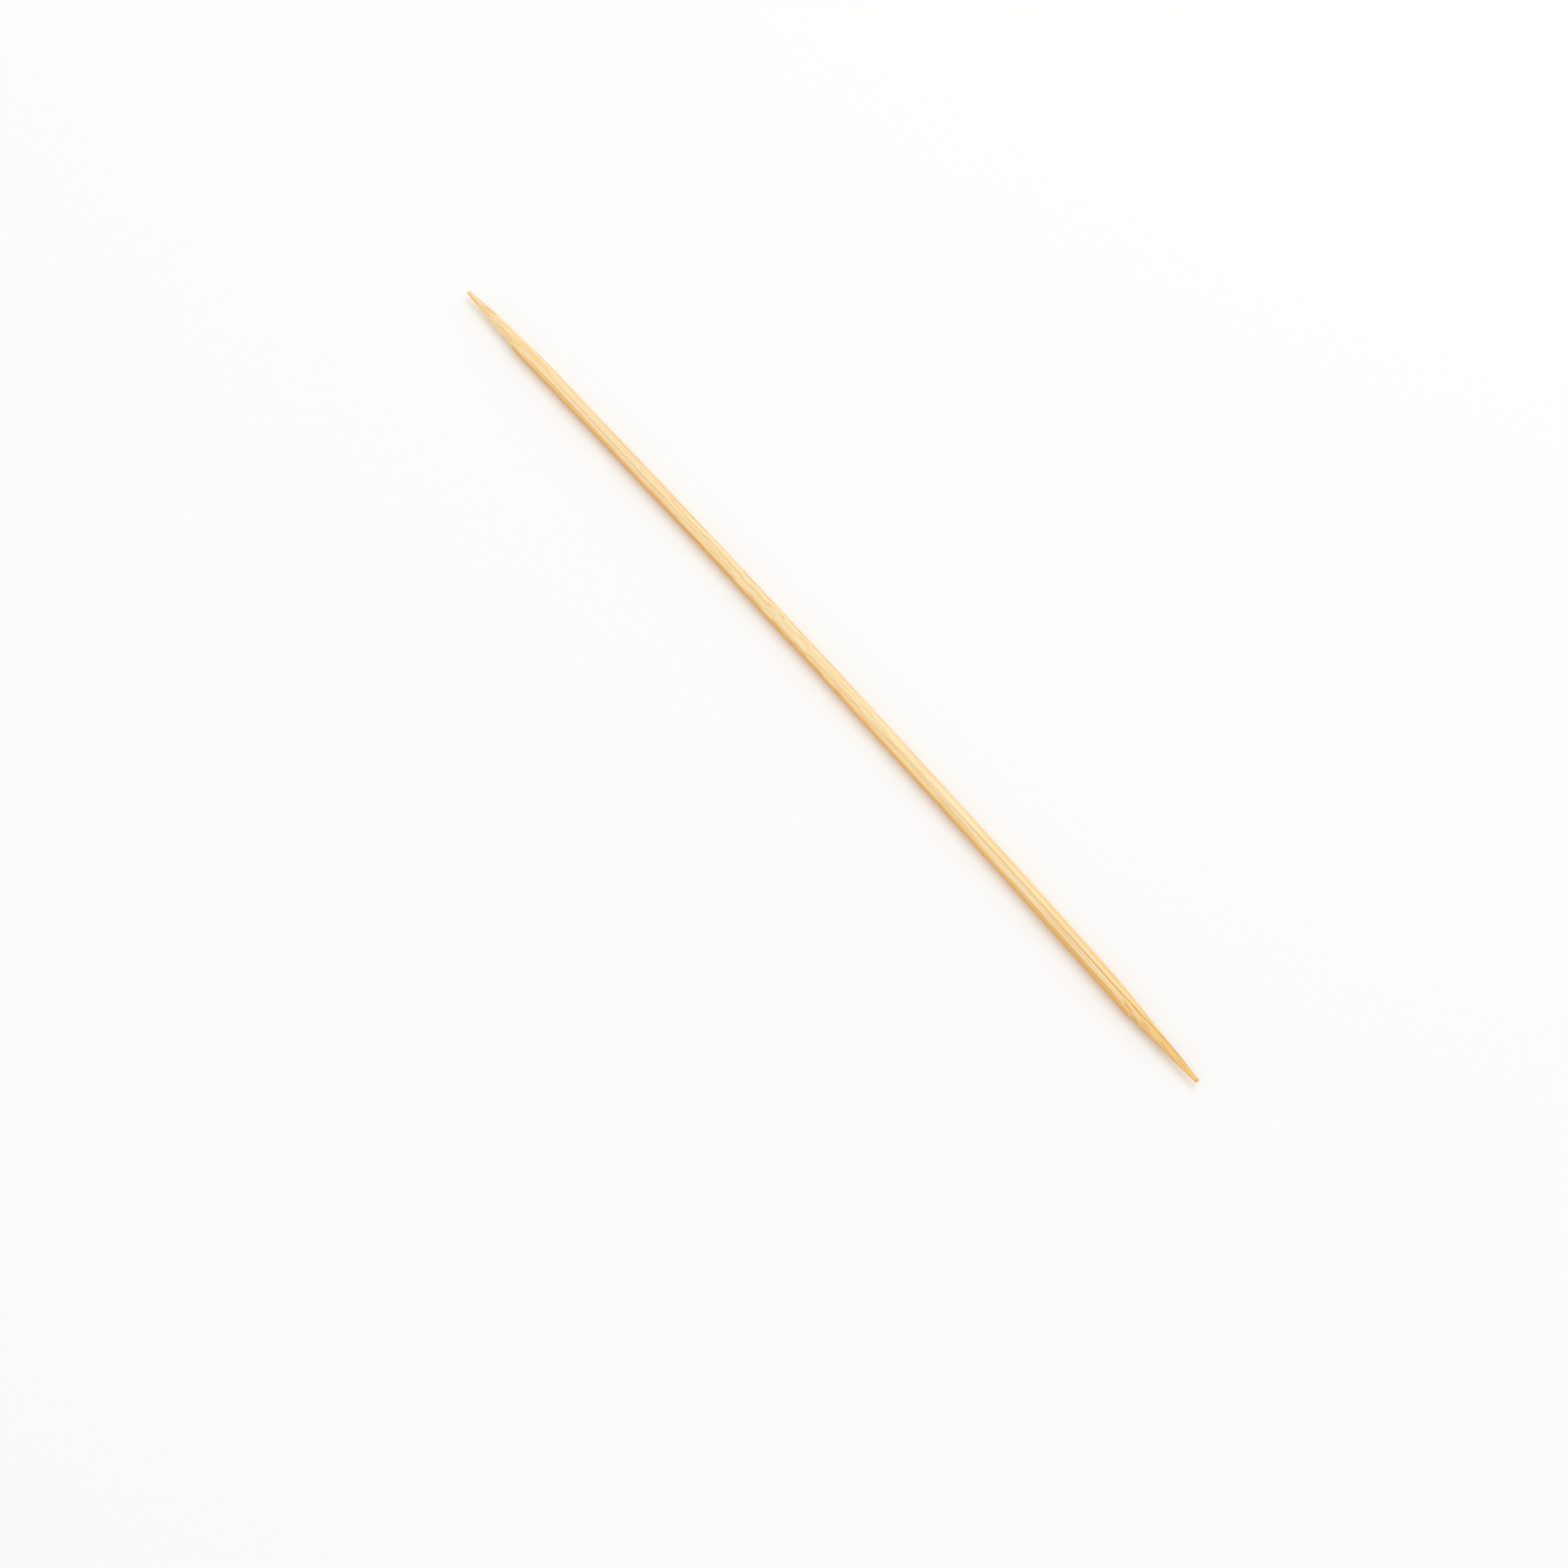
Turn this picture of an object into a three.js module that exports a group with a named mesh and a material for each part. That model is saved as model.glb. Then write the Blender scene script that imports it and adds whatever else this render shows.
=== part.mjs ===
// A bamboo stick: one rod of split bamboo, drawn round through a cutter, cut to length and ground to
// a point at both ends. Millimetres, +Z up. It lies along X on the wider of its two flats, bowed
// sideways as it dried, with the middle of its footprint at the origin.
import * as THREE from "three";

// The rod, which is a little thicker at its +X end
const stickLength = 300; // from tip face to tip face
const thinDiameter = 3.85;
const thickDiameter = 4.05;
const bow = 1.7; // how far the middle stands off the line between the tips

// The flats, where the split strip was a little thinner than the round it was drawn to
const lowerFlatDepth = 0.12;
const upperFlatDepth = 0.05;

// Each face of the points is a cone, ground round an axis that leans off the rod's own, at the tip
// and at the root by those distances towards the lean angle. It runs out sooner on that side.
const leanAngle = THREE.MathUtils.degToRad(204); // from +Y towards +Z

// The +X point has one face
const straightFace = {
  tipDiameter: 1.05,
  rootDiameter: 4.57,
  length: 33.5,
  tipLean: 0,
  rootLean: 0.25,
};

// The -X point has a slim face, and a steep one that was ground last and takes off its end
const slimFace = {
  tipDiameter: 1.52,
  rootDiameter: 4.14,
  length: 30,
  tipLean: -0.23,
  rootLean: 0.12,
};
const steepFace = {
  tipDiameter: 1,
  rootDiameter: 4,
  length: 21.5,
  tipLean: 0,
  rootLean: 0,
};

// How finely the curved skin is divided
const facesAround = 54;
const stepsAlong = 52;
const stepCrowding = 0.75; // 0 spaces the steps evenly, and nearer 1 crowds them into the points

const middleRadius = (thinDiameter + thickDiameter) / 4;

// Distance from the -X tip at a share of the steps, with short steps at both points
function distanceAlong(share) {
  const wave = Math.sin(2 * Math.PI * share) / (2 * Math.PI);
  return stickLength * (share - stepCrowding * wave);
}

// How far the rod's own skin lies from its axis: a round, cut off by the two flats
function rodReach(angle, along) {
  const radius = THREE.MathUtils.lerp(thinDiameter, thickDiameter, along / stickLength) / 2;
  const height = Math.sin(angle);
  const flatDepth = height < 0 ? lowerFlatDepth : upperFlatDepth;
  const flatReach = (middleRadius - flatDepth) / Math.max(Math.abs(height), Number.EPSILON);
  return Math.min(radius, flatReach);
}

// How far a ground face lies from the rod's axis, at a distance behind the tip face
function groundReach(face, angle, fromTip) {
  if (fromTip >= face.length) {
    return Infinity;
  }
  const run = fromTip / face.length;
  const radius = THREE.MathUtils.lerp(face.tipDiameter, face.rootDiameter, run) / 2;
  const lean = THREE.MathUtils.lerp(face.tipLean, face.rootLean, run);
  const turn = angle - leanAngle;
  return lean * Math.cos(turn) + Math.sqrt(radius ** 2 - (lean * Math.sin(turn)) ** 2);
}

// The stick's section at one distance along it: what the rod and every ground face leave
function sectionReach(angle, along) {
  return Math.min(
    rodReach(angle, along),
    groundReach(slimFace, angle, along),
    groundReach(steepFace, angle, along),
    groundReach(straightFace, angle, stickLength - along),
  );
}

// Sideways place of the rod's axis: a shallow parabola
function bowAt(along) {
  const fromMiddle = (2 * along) / stickLength - 1;
  return bow * (1 - fromMiddle * fromMiddle);
}

// A closed cylinder of unit size, laid along X, whose every vertex is moved out to the stick's skin.
// Only the two middles of its end faces have no direction, and they stay on the rod's axis.
function makeStickGeometry() {
  const unitHeight = 1;
  const geometry = new THREE.CylinderGeometry(1, 1, unitHeight, facesAround, stepsAlong);
  geometry.rotateZ(-Math.PI / 2);
  const vertices = geometry.getAttribute("position");
  for (let i = 0; i < vertices.count; i += 1) {
    const along = distanceAlong(vertices.getX(i) + unitHeight / 2);
    const y = vertices.getY(i);
    const z = vertices.getZ(i);
    const inMiddle = Math.hypot(y, z) < Number.EPSILON;
    const reach = inMiddle ? 0 : sectionReach(Math.atan2(z, y), along);
    vertices.setXYZ(i, along - stickLength / 2, y * reach + bowAt(along), z * reach);
  }
  geometry.computeVertexNormals();
  geometry.computeBoundingBox();
  return geometry;
}

// Dried bamboo, sanded and left bare
function makeBamboo() {
  return new THREE.MeshStandardMaterial({ color: 0xecca8f, roughness: 0.55, metalness: 0 });
}

// The stick lies on its lower flat, with its footprint centred
function makeStick() {
  const stick = new THREE.Mesh(makeStickGeometry(), makeBamboo());
  stick.name = "stick";
  const box = stick.geometry.boundingBox;
  const middle = box.getCenter(new THREE.Vector3());
  stick.position.set(-middle.x, -middle.y, -box.min.z);
  return stick;
}

const group = new THREE.Group();
group.add(makeStick());

export default group;
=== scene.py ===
import math

import bpy
import numpy as np
from mathutils import Euler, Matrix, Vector


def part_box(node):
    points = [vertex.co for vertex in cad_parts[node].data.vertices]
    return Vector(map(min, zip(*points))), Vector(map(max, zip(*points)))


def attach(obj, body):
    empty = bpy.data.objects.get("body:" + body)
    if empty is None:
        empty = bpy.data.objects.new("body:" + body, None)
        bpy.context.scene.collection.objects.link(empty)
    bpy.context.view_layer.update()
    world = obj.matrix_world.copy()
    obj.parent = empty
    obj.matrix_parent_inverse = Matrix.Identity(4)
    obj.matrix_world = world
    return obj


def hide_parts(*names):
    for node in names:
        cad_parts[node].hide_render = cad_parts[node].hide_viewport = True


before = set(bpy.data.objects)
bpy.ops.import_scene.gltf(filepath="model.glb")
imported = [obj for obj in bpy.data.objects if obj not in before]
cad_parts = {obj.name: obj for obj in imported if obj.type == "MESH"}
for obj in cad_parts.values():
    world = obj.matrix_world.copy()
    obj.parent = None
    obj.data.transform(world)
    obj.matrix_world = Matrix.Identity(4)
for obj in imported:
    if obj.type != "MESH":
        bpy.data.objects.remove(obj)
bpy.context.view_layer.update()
scene = bpy.context.scene
scene.view_settings.view_transform = "Standard"

# The camera. It looks down on the stick from beside its straight point, through a portrait lens.
# It sees the stick run from the upper left to the lower right, as in the photograph. The places and
# distances of the camera, the floor and the light are in metres.
lens_mm = 85
sensor_mm = 36
looking_down = math.radians(53.6)
heading = math.radians(54.194)  # from +Y towards -X
aimed_at = Vector((0.0277, -0.0270, 0.0))
stand_off = 0.8805

camera = bpy.data.objects.new("camera", bpy.data.cameras.new("camera"))
camera.data.lens = lens_mm
camera.data.sensor_width = sensor_mm
camera.rotation_euler = Euler((math.pi / 2 - looking_down, 0, heading))
line_of_sight = camera.rotation_euler.to_matrix() @ Vector((0, 0, -1))
camera.location = aimed_at - stand_off * line_of_sight
scene.collection.objects.link(camera)
scene.camera = camera

# The floor. A sheet of matt white card lies under the stick and runs out of sight on every side, so
# that nothing but the stick's own soft shadow is drawn on it.
card_half_width = 20.0
card_hex = "#FAFAF9"


def linear(hex_colour):
    """A colour written as sRGB hex, as the linear red, green, blue and alpha that shaders take."""
    shares = [int(hex_colour[start : start + 2], 16) / 255 for start in (1, 3, 5)]
    return [s / 12.92 if s <= 0.04045 else ((s + 0.055) / 1.055) ** 2.4 for s in shares] + [1.0]


def add_node(tree, kind, sockets=None, **settings):
    """Adds a shader node. The settings go on the node itself, and sockets gives each input, by name
    or by number, a value or another node's output, which is then linked to it."""
    node = tree.nodes.new("ShaderNode" + kind)
    for name, value in settings.items():
        setattr(node, name, value)
    for key, value in (sockets or {}).items():
        if isinstance(value, bpy.types.NodeSocket):
            tree.links.new(value, node.inputs[key])
        else:
            node.inputs[key].default_value = value
    return node


def new_material(name):
    """A material of that name with no nodes yet, and its node tree."""
    material = bpy.data.materials.new(name)
    material.use_nodes = True
    material.node_tree.nodes.clear()
    return material, material.node_tree


card, tree = new_material("matt_white_card")
matt = add_node(tree, "BsdfDiffuse", {"Color": linear(card_hex)})
add_node(tree, "OutputMaterial", {"Surface": matt.outputs[0]})

corners = [(-1, -1), (1, -1), (1, 1), (-1, 1)]
floor_mesh = bpy.data.meshes.new("floor")
floor_mesh.from_pydata(
    [(card_half_width * x, card_half_width * y, 0) for x, y in corners], [], [(0, 1, 2, 3)]
)
floor_mesh.materials.append(card)
floor = bpy.data.objects.new("floor", floor_mesh)
scene.collection.objects.link(floor)

# The light. A white tent gives most of it from all round, and one broad soft lamp stands high on
# the +Y side, so that the side towards the camera's lower left is a little darker.
tent_strength = 0.89
tent_seen = 0.96  # what the camera and reflections see past the floor's edge
lamp_watts = 6.5
lamp_width = 1.4
lamp_place = Vector((-0.3, 0.9, 1.6))

world = bpy.data.worlds.new("white_tent")
world.use_nodes = True
scene.world = world
tree = world.node_tree
tree.nodes.clear()
rays = add_node(tree, "LightPath")
sees_tent = rays.outputs["Is Camera Ray"]
for kind in ("Is Glossy Ray", "Is Transmission Ray"):
    either = {0: sees_tent, 1: rays.outputs[kind]}
    sees_tent = add_node(tree, "Math", either, operation="MAXIMUM").outputs[0]
strength = add_node(
    tree, "MapRange", {"Value": sees_tent, "To Min": tent_strength, "To Max": tent_seen}
)
tent = add_node(tree, "Background", {"Strength": strength.outputs[0]})
tent.inputs["Color"].default_value = linear("#FFFFFF")
add_node(tree, "OutputWorld", {"Surface": tent.outputs[0]})

lamp = bpy.data.objects.new("lamp", bpy.data.lights.new("lamp", "AREA"))
lamp.data.shape = "SQUARE"
lamp.data.energy = lamp_watts
lamp.data.size = lamp_width
lamp.location = lamp_place
lamp.rotation_euler = (-lamp_place).to_track_quat("-Z", "Y").to_euler()
scene.collection.objects.link(lamp)

# The stick. One strip of split bamboo, drawn round through a cutter, cut to length, and ground to a
# point at both ends. It is left bare and sanded. It lies on its lower flat, and is bowed sideways,
# as it dried. Its sizes are the CAD solid's, in millimetres.
MM = 0.001
stick_length = 300.0
bow = 1.7
thin_diameter = 3.85
thick_diameter = 4.05
middle_radius = (thin_diameter + thick_diameter) / 4
lower_flat_depth = 0.12
upper_flat_depth = 0.05
lean_angle = math.radians(204)  # from +Y towards +Z, which is the camera's lower left
straight_face = {"diameters": (1.05, 4.57), "leans": (0.0, 0.25), "length": 33.5}
slim_face = {"diameters": (1.52, 4.14), "leans": (-0.23, 0.12), "length": 30.0}
steep_face = {"diameters": (1.0, 4.0), "leans": (0.0, 0.0), "length": 21.5}
edge_softness = 0.025  # how far sanding rounds the edges between the faces
tip_bulge = 0.05  # how far a tip face's middle stands proud of its rim
least_height = 1e-6  # keeps the level line through the axis from a division by zero

# The lengthwise relief of the skin, and what grinding does to it at the points
grooves_around = (7, 11, 15, 20, 26, 33)
groove_depth = 0.013
groove_drift, groove_drift_wave = 0.6, 40.0  # in radians round the section, and along the stick
groove_fade, groove_fade_wave = 0.4, 25.0  # as a share of the depth, and along the stick
wave_stretches = (0.7, 1.0, 1.6)
raised_grain = 1.5  # how much deeper the grooves go on the ground faces, as a share of their depth
scratch_pitch = 1.3
scratch_depth = 0.004

points_around = 152
rings_along = 640
ring_crowding = 0.75  # 0 spaces the rings evenly, and nearer 1 crowds them into the points
tip_rings = np.array([0.3, 0.6, 0.85, 0.96])  # rings on a tip face, as shares of its radius
draws = np.random.default_rng(seed=11)


def soft_least(first, second):
    """The lesser of two lengths, with the crease where they cross rounded off."""
    crease = edge_softness * np.exp(-np.abs(first - second) / edge_softness) / 2
    return np.minimum(first, second) - crease


def rod_reach(angle, along):
    """How far the drawn rod's skin lies from its axis: a round that grows evenly towards the thick
    end, cut off by a level plane below and by a shallower one above."""
    radius = (thin_diameter + (thick_diameter - thin_diameter) * along / stick_length) / 2
    height = np.sin(angle)
    depth = np.where(height < 0, lower_flat_depth, upper_flat_depth)
    flat = (middle_radius - depth) / np.maximum(np.abs(height), least_height)
    return soft_least(radius, flat)


def ground_reach(face, angle, from_tip):
    """How far a ground face lies from the rod's axis. The face is a cone from its tip diameter to
    its root diameter, and its middle moves off the axis evenly between its two leans."""
    run = from_tip / face["length"]
    radius = (face["diameters"][0] * (1 - run) + face["diameters"][1] * run) / 2
    lean = face["leans"][0] * (1 - run) + face["leans"][1] * run
    turn = angle - lean_angle
    reach = lean * np.cos(turn) + np.sqrt(np.maximum(radius**2 - (lean * np.sin(turn)) ** 2, 0))
    return np.where(run < 1, reach, stick_length)


def wander(along, wavelength):
    """A slow random wave of about unit height: three sines near one wavelength."""
    parts = [
        np.sin(2 * np.pi * along / (wavelength * stretch) + draws.uniform(0, 2 * np.pi))
        for stretch in wave_stretches
    ]
    return sum(parts) / 2


def fibre_grooves(angle, along):
    """The shallow lengthwise grooves that the fibres leave: waves round the section, each of which
    drifts sideways and grows and fades slowly along the stick."""
    total = 0
    for count in grooves_around:
        drift = groove_drift * wander(along, groove_drift_wave) + draws.uniform(0, 2 * np.pi)
        depth = 1 - groove_fade + groove_fade * wander(along, groove_fade_wave)
        total = total + depth * np.cos(count * angle + drift)
    return groove_depth * total / 2


def bow_at(along):
    """Sideways place of the stick's axis: a parabola from tip to tip."""
    return bow * (1 - (2 * along / stick_length - 1) ** 2)


# Every ring of the skin has its distance from the -X tip and its share of the full section.
# The first and last few lie on the tip faces, which are low domes, and a pole closes each.
share = np.linspace(0, 1, rings_along)
crowded = share - ring_crowding * np.sin(2 * np.pi * share) / (2 * np.pi)
shaft_along = tip_bulge + (stick_length - 2 * tip_bulge) * crowded
dome_along = tip_bulge * tip_rings**2
along = np.concatenate([dome_along, shaft_along, stick_length - dome_along[::-1]])[:, None]
inset = np.concatenate([tip_rings, np.ones(rings_along), tip_rings[::-1]])[:, None]
angle = np.linspace(0, 2 * np.pi, points_around, endpoint=False)[None, :]

rod = rod_reach(angle, along)
steep = ground_reach(steep_face, angle, along)
ground = soft_least(
    ground_reach(slim_face, angle, along), ground_reach(straight_face, angle, stick_length - along)
)
ground_off = np.maximum(rod - np.minimum(ground, steep), 0)
worn = np.minimum(ground_off / edge_softness, 1)
steepened = np.clip((ground - steep) / edge_softness, 0, 1)
relief = fibre_grooves(angle, along) * (1 + raised_grain * worn)
relief = relief + scratch_depth * worn * np.sin(2 * np.pi * along / scratch_pitch + angle)
section = soft_least(soft_least(rod, ground), steep)
reach = inset * (section + relief * np.minimum(section / middle_radius, 1))

x, across, up = np.broadcast_arrays(
    along - stick_length / 2, reach * np.cos(angle), reach * np.sin(angle)
)
low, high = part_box("stick")
axis_height = middle_radius - lower_flat_depth
outline = across + bow_at(along)
axis_shift = (low.y + high.y) / (2 * MM) - (outline.min() + outline.max()) / 2
skin = np.stack([x, outline + axis_shift, np.maximum(up + axis_height, 0)], -1)
poles = np.array([[-1, 0, 0], [1, 0, 0]]) * stick_length / 2
places = np.concatenate([skin.reshape(-1, 3), poles + [0, axis_shift, axis_height]])
grain = np.concatenate([np.stack([x, across, up], -1).reshape(-1, 3), poles])

# Faces run round each ring and on to the next, and a fan of triangles closes each tip face.
ring_count = len(along)
ring, turn = np.meshgrid(np.arange(ring_count - 1), np.arange(points_around), indexing="ij")
here = ring * points_around + turn
beside = ring * points_around + (turn + 1) % points_around
quads = np.stack([here, beside, beside + points_around, here + points_around], -1)
first = np.arange(points_around)
second = (first + 1) % points_around
last_ring = (ring_count - 1) * points_around
start_pole = ring_count * points_around
start_fan = np.stack([second, first, np.full(points_around, start_pole)], -1)
end_fan = np.stack([first, second, np.full(points_around, start_pole + 1)], -1)
end_fan[:, :2] += last_ring
faces = quads.reshape(-1, 4).tolist() + start_fan.tolist() + end_fan.tolist()

stick_mesh = bpy.data.meshes.new("bamboo_stick")
stick_mesh.from_pydata((places * MM).tolist(), [], faces)
stick_mesh.shade_smooth()


def store(name, kind, field, values):
    """Puts one value for each vertex on the mesh, for the material to read."""
    layer = stick_mesh.attributes.new(name, kind, "POINT")
    layer.data.foreach_set(field, np.asarray(values, np.float32).ravel())


# The material reads where each vertex lies in the wood, with the bow taken out, because the fibres
# bend with the stick. It also reads how much wood is ground away there, and whether the steep face
# took it. The last two values of each are the poles'.
store("grain", "FLOAT_VECTOR", "vector", grain)
store("ground_off", "FLOAT", "value", np.append(np.broadcast_to(ground_off, x.shape), [1, 1]))
store("steepened", "FLOAT", "value", np.append(np.broadcast_to(steepened, x.shape), [0, 0]))

# The flat layout of the skin is three strips, one for each third of the rings, so that a picture
# of it has as many dots across a fibre as along it. The tip faces lie in a narrow strip above.
strips = 3
strip_margin = 0.01
strips_top = 0.94
disc_row = 0.97
disc_columns = (0.03, 0.07)  # of the -X tip face and of the +X one
disc_radius = 0.012
rounding_slack = 1e-9  # keeps the first ring of a strip out of the strip before

ring_share = ring / (ring_count - 1) * strips
strip = np.minimum(np.floor(ring_share + rounding_slack), strips - 1)
step_share = strips / (ring_count - 1)
left = ring_share - strip
low_v, high_v = turn / points_around, (turn + 1) / points_around


def laid_out(u, v):
    """Where a share of a strip's length and of its width lies in the layout."""
    width = 1 - 2 * strip_margin
    tall = (strip_margin + width * v + strip) * strips_top / strips
    return np.stack([strip_margin + width * u, tall], -1)


def disc_laid_out(column, start, end):
    """Where a tip face's fan lies in the layout: each start and each end on a round, at its share
    of a turn, and then the round's middle."""
    middle = np.array([column, disc_row])
    turns = [2 * np.pi * corner / points_around for corner in (start, end)]
    rim = [middle + disc_radius * np.stack([np.cos(a), np.sin(a)], -1) for a in turns]
    return np.stack([*rim, np.broadcast_to(middle, rim[0].shape)], -2)


right = left + step_share
quad_corners = ((left, low_v), (left, high_v), (right, high_v), (right, low_v))
quad_uv = np.stack([laid_out(u, v) for u, v in quad_corners], -2)
start_fan_uv = disc_laid_out(disc_columns[0], second, first)
end_fan_uv = disc_laid_out(disc_columns[1], first, second)
all_uv = np.concatenate([uv.reshape(-1) for uv in (quad_uv, start_fan_uv, end_fan_uv)])
layout = stick_mesh.uv_layers.new(name="OFBake")
layout.uv.foreach_set("vector", all_uv.astype(np.float32))

stick = bpy.data.objects.new("bamboo_stick", stick_mesh)
scene.collection.objects.link(stick)

# Bare bamboo, split, drawn and sanded: pale straw, with the tan lines of its fibre bundles running
# from end to end, golden towards the rind, and with a soft sheen. Some of the gold and brown is
# painted shade.
straw_hex = "#FDE2B0"
pale_line_hex = "#FFEDC6"
tan_line_hex = "#DFAE68"
brown_line_hex = "#B57A38"
# The rind's gold, which also serves as painted shade on the lower-left side.
rind_and_shade_hex = "#FCBB48"
sunned_hex = "#F6C25F"
# The browned colour serves for browned wood and also for painted shade.
browned_and_shade_hex = "#D59C40"
line_length, line_width, line_detail = 130.0, 0.29, 0.8
streak_length, streak_width = 16.0, 0.2
cloud_length, cloud_width = 22.0, 1.5
drift_length, drift_height = 60.0, 1.0
waver_length, waver_width = 6.0, 14.0
waver_height, calm_height = 0.8, 0.08  # where the fibres waver most, and far from there
waver_middle, waver_reach = -12.0, 75.0  # the traces of a node, and how far they are felt
noise_middle = (0.5, 0.5, 0.5)
# The slant and place of a painted shade line, in a groove of the straight point.
groove_shade_slant = 0.014
groove_shade_place = 1.32
# The side of the steep face whose brown is partly painted shade.
shade_and_stain_angle = math.radians(45)
line_relief = 0.03

# Where each tint lies and how strong it is, as the numbers that ramp takes after its value: a start
# and an end, in noise levels or millimetres, and the shares there if those aren't 0 and 1. The last
# two give the roughness in the same way.
pale_span = (0.46, 0.3, 0.0, 0.8)
tan_span = (0.48, 0.63)
tan_along = (-130.0, 110.0, 0.5, 0.62)
cloud_span = (0.45, 0.75, 0.0, 0.4)
straight_point_sunned = (108.0, 145.0, 0.0, 0.75)
steep_point_sunned = (-132.0, -146.0, 0.0, 0.25)
# Painted shade: a line in a groove of the straight point, and the lower-left side of that point.
groove_shade_span = (0.06, 0.2, 0.75, 0.0)
groove_shade_along = (70.0, 115.0)
near_side_shade_span = (0.35, 1.2, 0.0, 0.35)
near_side_shade_along = (105.0, 135.0)
tip_edge_span = (-0.35, -0.9, 0.0, 0.5)
tip_edge_along = (134.0, 144.0)
far_side_span = (-1.1, -1.75, 0.0, 0.55)
far_side_along = (20.0, 110.0)
rind_left = (0.1, 0.16, 1.0, 0.1)  # by how much wood is ground away
# The rind's gold with painted shade in it, and its edge darker still with painted shade.
rind_and_shade_span = (1.2, 1.55, 0.0, 0.85)
rind_edge_and_shade_span = (1.6, 1.85, 0.0, 0.35)
rind_line_span = (0.47, 0.62)
rind_line_depth = (0.9, 1.4, 0.0, 0.2)
brown_streak_span = (0.68, 0.78, 0.0, 0.45)
# The steep face's brown, partly painted shade.
shade_and_stain_span = (0.65, 1.15, 0.0, 0.85)
shade_and_stain_streak_span = (0.35, 0.55)
tip_face_start, tip_face_end = 0.1, 0.04  # in from each tip
tip_face_share = 0.6
line_roughness = (0.3, 0.7, 0.4, 0.55)
ground_roughness = (0.0, 0.03, 0.0, 0.1)

bamboo, tree = new_material("bare_bamboo")
grain_place = add_node(tree, "Attribute", attribute_name="grain").outputs["Vector"]
ground_off = add_node(tree, "Attribute", attribute_name="ground_off").outputs["Fac"]
steepened = add_node(tree, "Attribute", attribute_name="steepened").outputs["Fac"]


def vector_math(operation, first, second, output="Vector"):
    """One vector operation between two vectors."""
    return add_node(tree, "VectorMath", {0: first, 1: second}, operation=operation).outputs[output]


def maths(operation, *numbers):
    """One operation on one number or two, in the order in which its node takes them."""
    return add_node(tree, "Math", dict(enumerate(numbers)), operation=operation).outputs[0]


def product(first, second):
    """Two numbers multiplied."""
    return maths("MULTIPLY", first, second)


def ramp(value, start, end, first=0.0, last=1.0):
    """A value turned to a share that goes from first at start to last at end, and stays there."""
    limits = {"Value": value, "From Min": start, "From Max": end, "To Min": first, "To Max": last}
    return add_node(tree, "MapRange", limits).outputs[0]


def streaks(length, width, place, output="Fac", detail=2.0):
    """Noise drawn out along the fibres, with cells of about that length and width."""
    stretched = vector_math("DIVIDE", place, (length, width, width))
    noise = {"Vector": stretched, "Scale": 1.0, "Detail": detail}
    return add_node(tree, "TexNoise", noise).outputs[output]


def tint(colour, share, hex_colour):
    """A colour moved towards another by a share."""
    mix = add_node(tree, "MixRGB", {"Fac": share, "Color1": colour})
    mix.inputs["Color2"].default_value = linear(hex_colour)
    return mix.outputs[0]


# The fibres drift slowly from side to side, and waver in short waves as well, most of all near the
# node that was sanded off.
along_stick = add_node(tree, "SeparateXYZ", {0: grain_place}).outputs["X"]
past_node = vector_math("DISTANCE", grain_place, (waver_middle, 0, 0), "Value")
waver_share = ramp(past_node, 0.0, waver_reach, waver_height, calm_height)


def moved(place, length, height):
    """The place moved across the fibres by noise of that length, about a fifth as far as height."""
    noise = streaks(length, waver_width, grain_place, "Color", 0.0)
    shift = vector_math("SUBTRACT", noise, noise_middle)
    sideways = vector_math("MULTIPLY", shift, (0, 1, 1))
    scaled = add_node(tree, "VectorMath", {0: sideways, "Scale": height}, operation="SCALE")
    return vector_math("ADD", place, scaled.outputs[0])


wavy = moved(moved(grain_place, drift_length, drift_height), waver_length, waver_share)

lines = streaks(line_length, line_width, wavy, detail=line_detail)
streak = streaks(streak_length, streak_width, wavy)
clouds = streaks(cloud_length, cloud_width, wavy)

# The straw is sunned towards both points and in soft clouds, and its lines are pale or tan.
colour = tint(linear(straw_hex), ramp(lines, *pale_span), pale_line_hex)
colour = tint(colour, ramp(along_stick, *straight_point_sunned), sunned_hex)
colour = tint(colour, ramp(along_stick, *steep_point_sunned), sunned_hex)
tan_share = product(ramp(lines, *tan_span), ramp(along_stick, *tan_along))
colour = tint(colour, tan_share, tan_line_hex)
colour = tint(colour, ramp(clouds, *cloud_span), sunned_hex)
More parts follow.
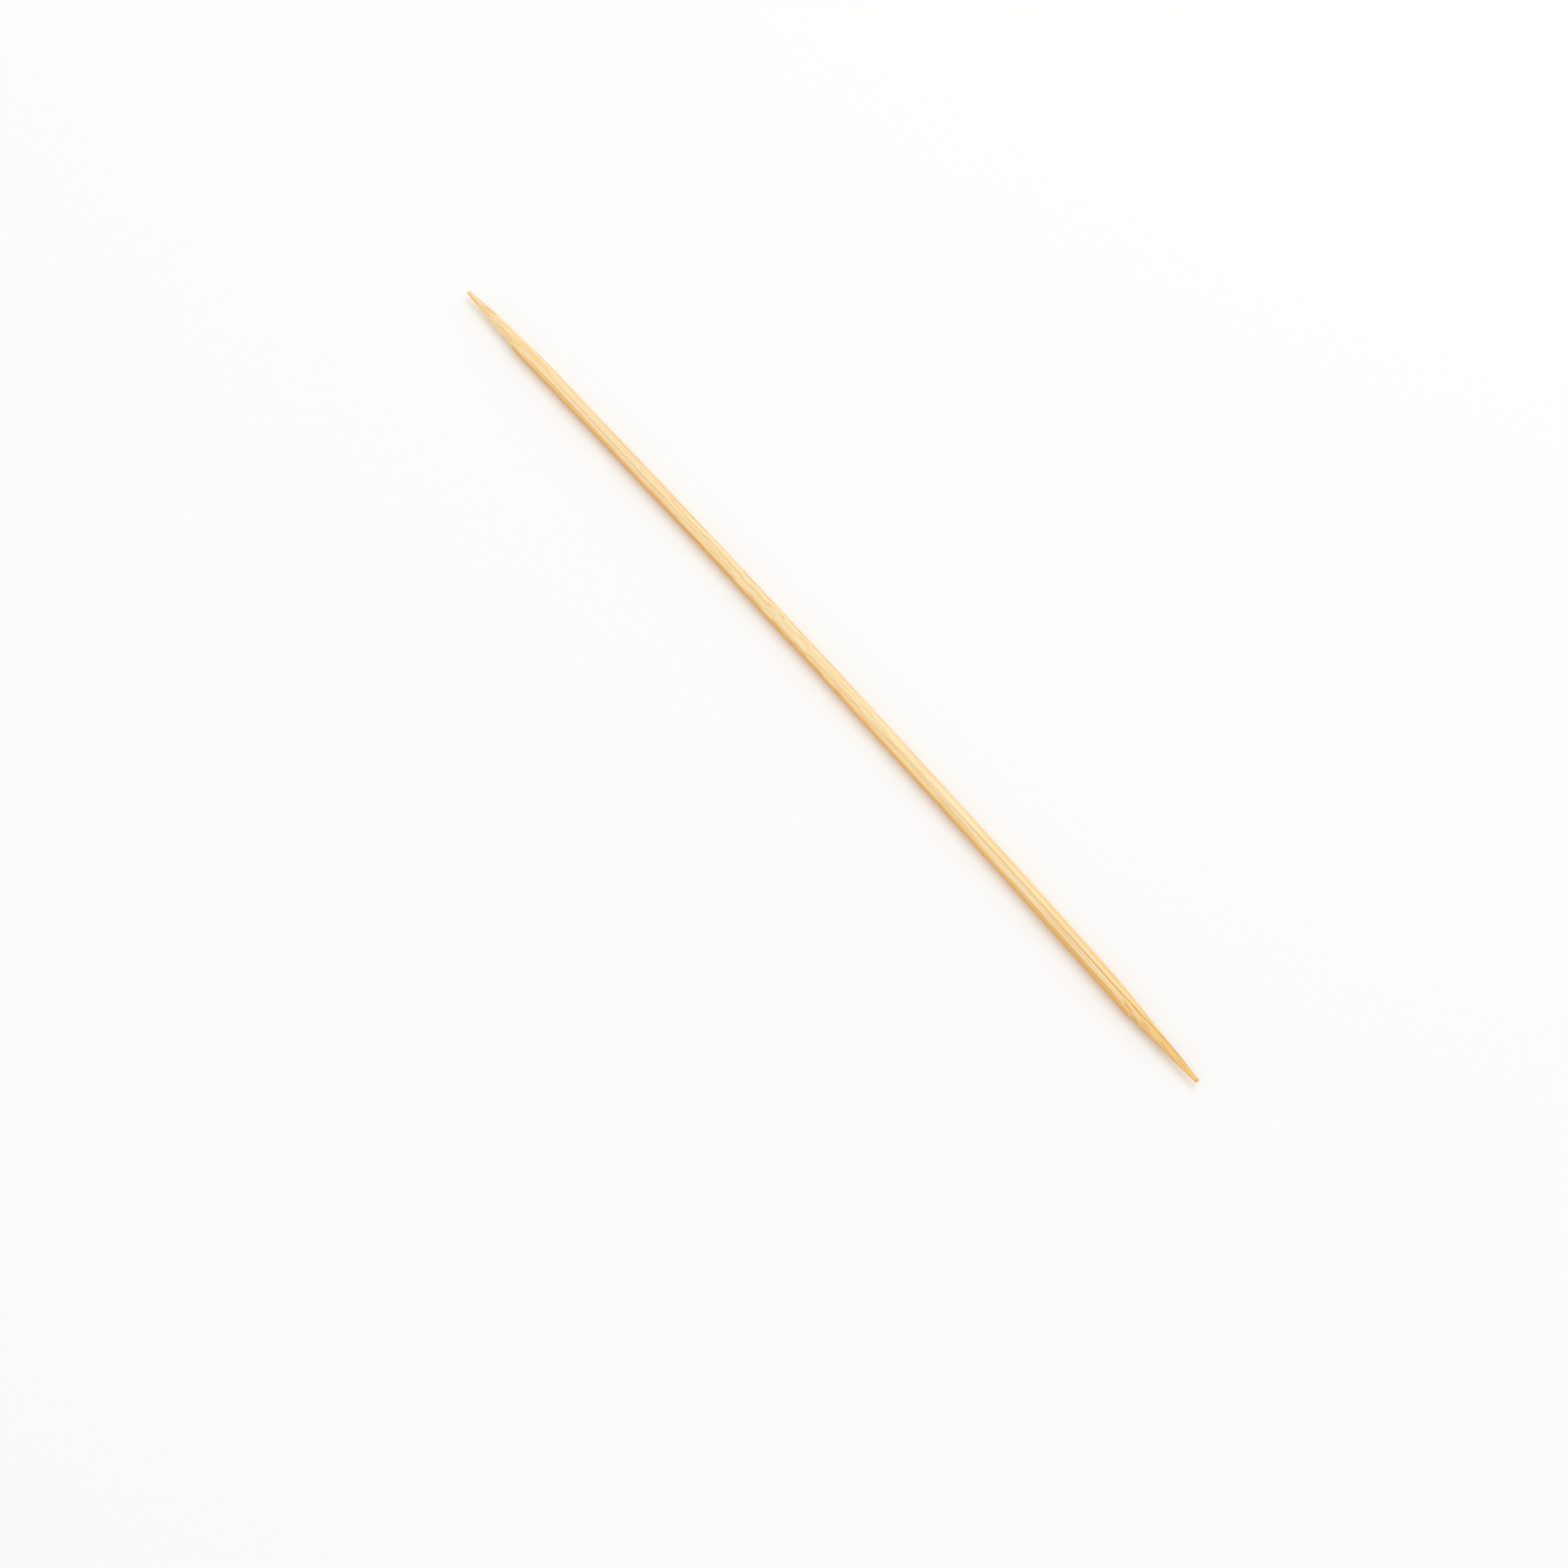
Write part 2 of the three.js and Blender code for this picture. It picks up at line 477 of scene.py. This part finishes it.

# A thin brown line runs along the straight point, a little aslant: painted shade of a groove
# between its ground facets. That point is also darker on its rind side, which is painted shade, and
# browned on the other side at its very tip.
to_rind_and_shade = (0, math.cos(lean_angle), math.sin(lean_angle))
towards_rind_and_shade = vector_math("DOT_PRODUCT", grain_place, to_rind_and_shade, "Value")
groove_shade_depth = maths("ADD", towards_rind_and_shade, product(along_stick, groove_shade_slant))
off_groove_shade = maths("ABSOLUTE", maths("SUBTRACT", groove_shade_depth, groove_shade_place))
groove_shade_share = product(ramp(off_groove_shade, *groove_shade_span), ramp(along_stick, *groove_shade_along))
near_side_shade = product(ramp(towards_rind_and_shade, *near_side_shade_span), ramp(along_stick, *near_side_shade_along))
tip_edge = product(ramp(towards_rind_and_shade, *tip_edge_span), ramp(along_stick, *tip_edge_along))
colour = tint(colour, groove_shade_share, browned_and_shade_hex)
colour = tint(colour, near_side_shade, browned_and_shade_hex)
colour = tint(colour, tip_edge, browned_and_shade_hex)

# The rind side lies towards the lean, which is the camera's lower left. Its gold is a thin layer,
# so grinding the points takes it off. The gold there, and the darker brown at its edge, are partly
# the rind's colour and partly painted shade.
# A fainter gold lies on the other side, towards the straight point.
in_rind = ramp(ground_off, *rind_left)
rind_lines = product(ramp(lines, *rind_line_span), ramp(towards_rind_and_shade, *rind_line_depth))
far_side = product(ramp(towards_rind_and_shade, *far_side_span), ramp(along_stick, *far_side_along))
colour = tint(colour, product(in_rind, ramp(towards_rind_and_shade, *rind_and_shade_span)), rind_and_shade_hex)
colour = tint(colour, product(in_rind, ramp(towards_rind_and_shade, *rind_edge_and_shade_span)), browned_and_shade_hex)
colour = tint(colour, rind_lines, brown_line_hex)
colour = tint(colour, far_side, sunned_hex)
colour = tint(colour, ramp(streak, *brown_streak_span), brown_line_hex)

# The steep face of the other point is brown along the fibres, on its upper side: partly golden
# fibres cut across, and partly painted shade of the face turned from the light. Both tip faces are
# browned all over.
to_shade_and_stain = (0, math.cos(shade_and_stain_angle), math.sin(shade_and_stain_angle))
towards_shade_and_stain = vector_math("DOT_PRODUCT", wavy, to_shade_and_stain, "Value")
shaded_and_stained = product(steepened, ramp(towards_shade_and_stain, *shade_and_stain_span))
shade_and_stain_share = product(shaded_and_stained, ramp(streak, *shade_and_stain_streak_span))
colour = tint(colour, shade_and_stain_share, browned_and_shade_hex)

for end in (-1, 1):
    tip = end * stick_length / 2
    browned_from, browned_to = tip - tip_face_start * end, tip - tip_face_end * end
    on_tip_face = ramp(along_stick, browned_from, browned_to, 0.0, tip_face_share)
    colour = tint(colour, on_tip_face, browned_and_shade_hex)

# The ground faces are rougher than the drawn skin, and the tan lines duller than the pale ones.
roughness = maths("ADD", ramp(lines, *line_roughness), ramp(ground_off, *ground_roughness))
bump = add_node(tree, "Bump", {"Height": lines, "Distance": line_relief * MM})
shader = add_node(
    tree,
    "BsdfPrincipled",
    {
        "Base Color": colour,
        "Roughness": roughness,
        "Normal": bump.outputs[0],
        "IOR": 1.5,
        "Specular IOR Level": 0.4,
    },
)
add_node(tree, "OutputMaterial", {"Surface": shader.outputs[0]})
stick_mesh.materials.append(bamboo)

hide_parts("stick")
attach(stick, "root")
